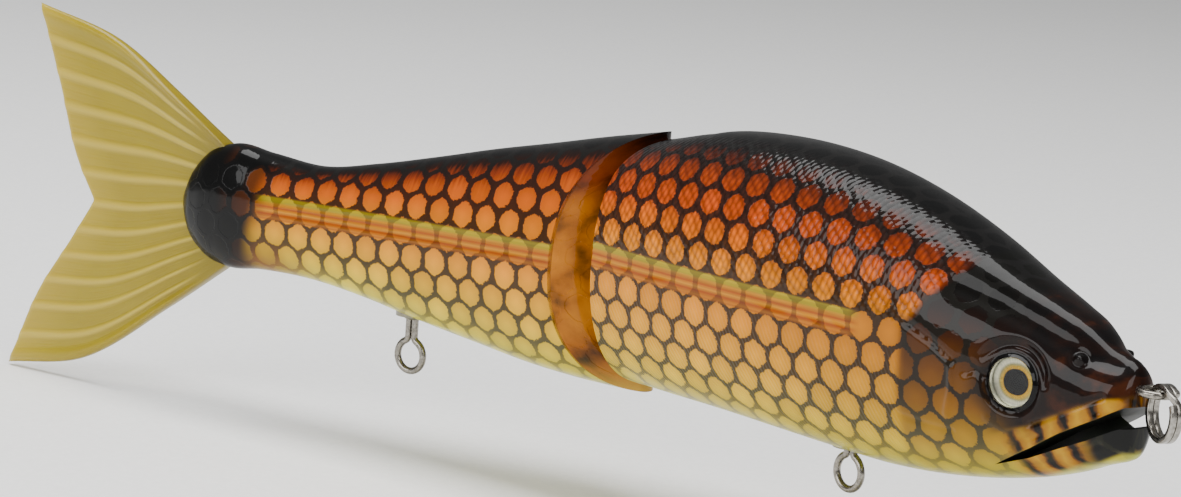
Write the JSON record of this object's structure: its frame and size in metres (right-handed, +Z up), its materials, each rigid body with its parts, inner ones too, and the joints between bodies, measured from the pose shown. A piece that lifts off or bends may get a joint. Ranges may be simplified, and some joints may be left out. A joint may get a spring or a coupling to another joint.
{
  "type": "jointed swimbait",
  "caption": "Jointed fish-shaped swimbait: hollow painted head and rear sections on a vertical hinge, soft forked tail, nose eye with split ring and belly hook hangers.",
  "frame": {"origin": "centre of the line-tie eye at the nose", "axes": "+X out past the nose, along the length of the front section; +Y to the fish's left; +Z up, along the hinge axis"},
  "size_m": [0.245, 0.0503, 0.0648],
  "materials": {
    "painted_shell": "airbrushed scale pattern under thick clear gloss lacquer",
    "eye_foil": "iridescent foil with black pupil",
    "clear_lens": "clear domed resin",
    "stainless_wire": "drawn stainless spring wire",
    "ring_steel": "bright nickel plated",
    "bushing_brass": "nickel plated brass",
    "ballast_lead": "dull cast metal",
    "soft_tail": "translucent soft PVC with moulded rays",
    "tail_pin_plastic": "moulded pin"
  },
  "bodies": {
    "front_section": {"front_shell_left": "painted_shell", "front_shell_right": "painted_shell", "eye_iris_left": "eye_foil", "eye_iris_right": "eye_foil", "eye_lens_left": "clear_lens", "eye_lens_right": "clear_lens", "line_tie": "stainless_wire", "front_weight_forward": "ballast_lead", "front_weight_aft": "ballast_lead", "hinge_eye_upper": "stainless_wire", "hinge_eye_lower": "stainless_wire", "front_hanger_bushing": "bushing_brass"},
    "split_ring": {"split_ring": "ring_steel"},
    "front_hanger": {"front_hanger_loop": "stainless_wire"},
    "rear_section": {"rear_shell_left": "painted_shell", "rear_shell_right": "painted_shell", "rear_weight": "ballast_lead", "hinge_pin": "stainless_wire", "rear_hanger_bushing": "bushing_brass", "tail_root": "soft_tail", "tail_pin": "tail_pin_plastic"},
    "rear_hanger": {"rear_hanger_loop": "stainless_wire"},
    "tail_fin": {"tail_blade": "soft_tail"}
  },
  "joints": [
    {"name": "body_hinge", "type": "hinge", "parent": "front_section", "child": "rear_section", "pos_m": [-0.108, 0, 0], "axis": [0, 0, 1], "range_deg": [-60, 30]},
    {"name": "ring_swing", "type": "hinge", "parent": "front_section", "child": "split_ring", "pos_m": [0.00232, -0.00094, 0], "axis": [0.3746, 0.9272, 0], "range_deg": [-150, 6]},
    {"name": "front_hanger_swivel", "type": "hinge", "parent": "front_section", "child": "front_hanger", "pos_m": [-0.0584, 0, -0.0201], "axis": [0, 0, 1], "continuous": true},
    {"name": "rear_hanger_swivel", "type": "hinge", "parent": "rear_section", "child": "rear_hanger", "pos_m": [-0.15147, -0.01165, -0.017], "axis": [0, 0, 1], "continuous": true},
    {"name": "tail_flex", "type": "hinge", "parent": "rear_section", "child": "tail_fin", "pos_m": [-0.20266, -0.02536, -0.006], "axis": [0, 0, 1], "range_deg": [-30, 30], "stiffness_Nm_per_rad": 0.02}
  ]
}
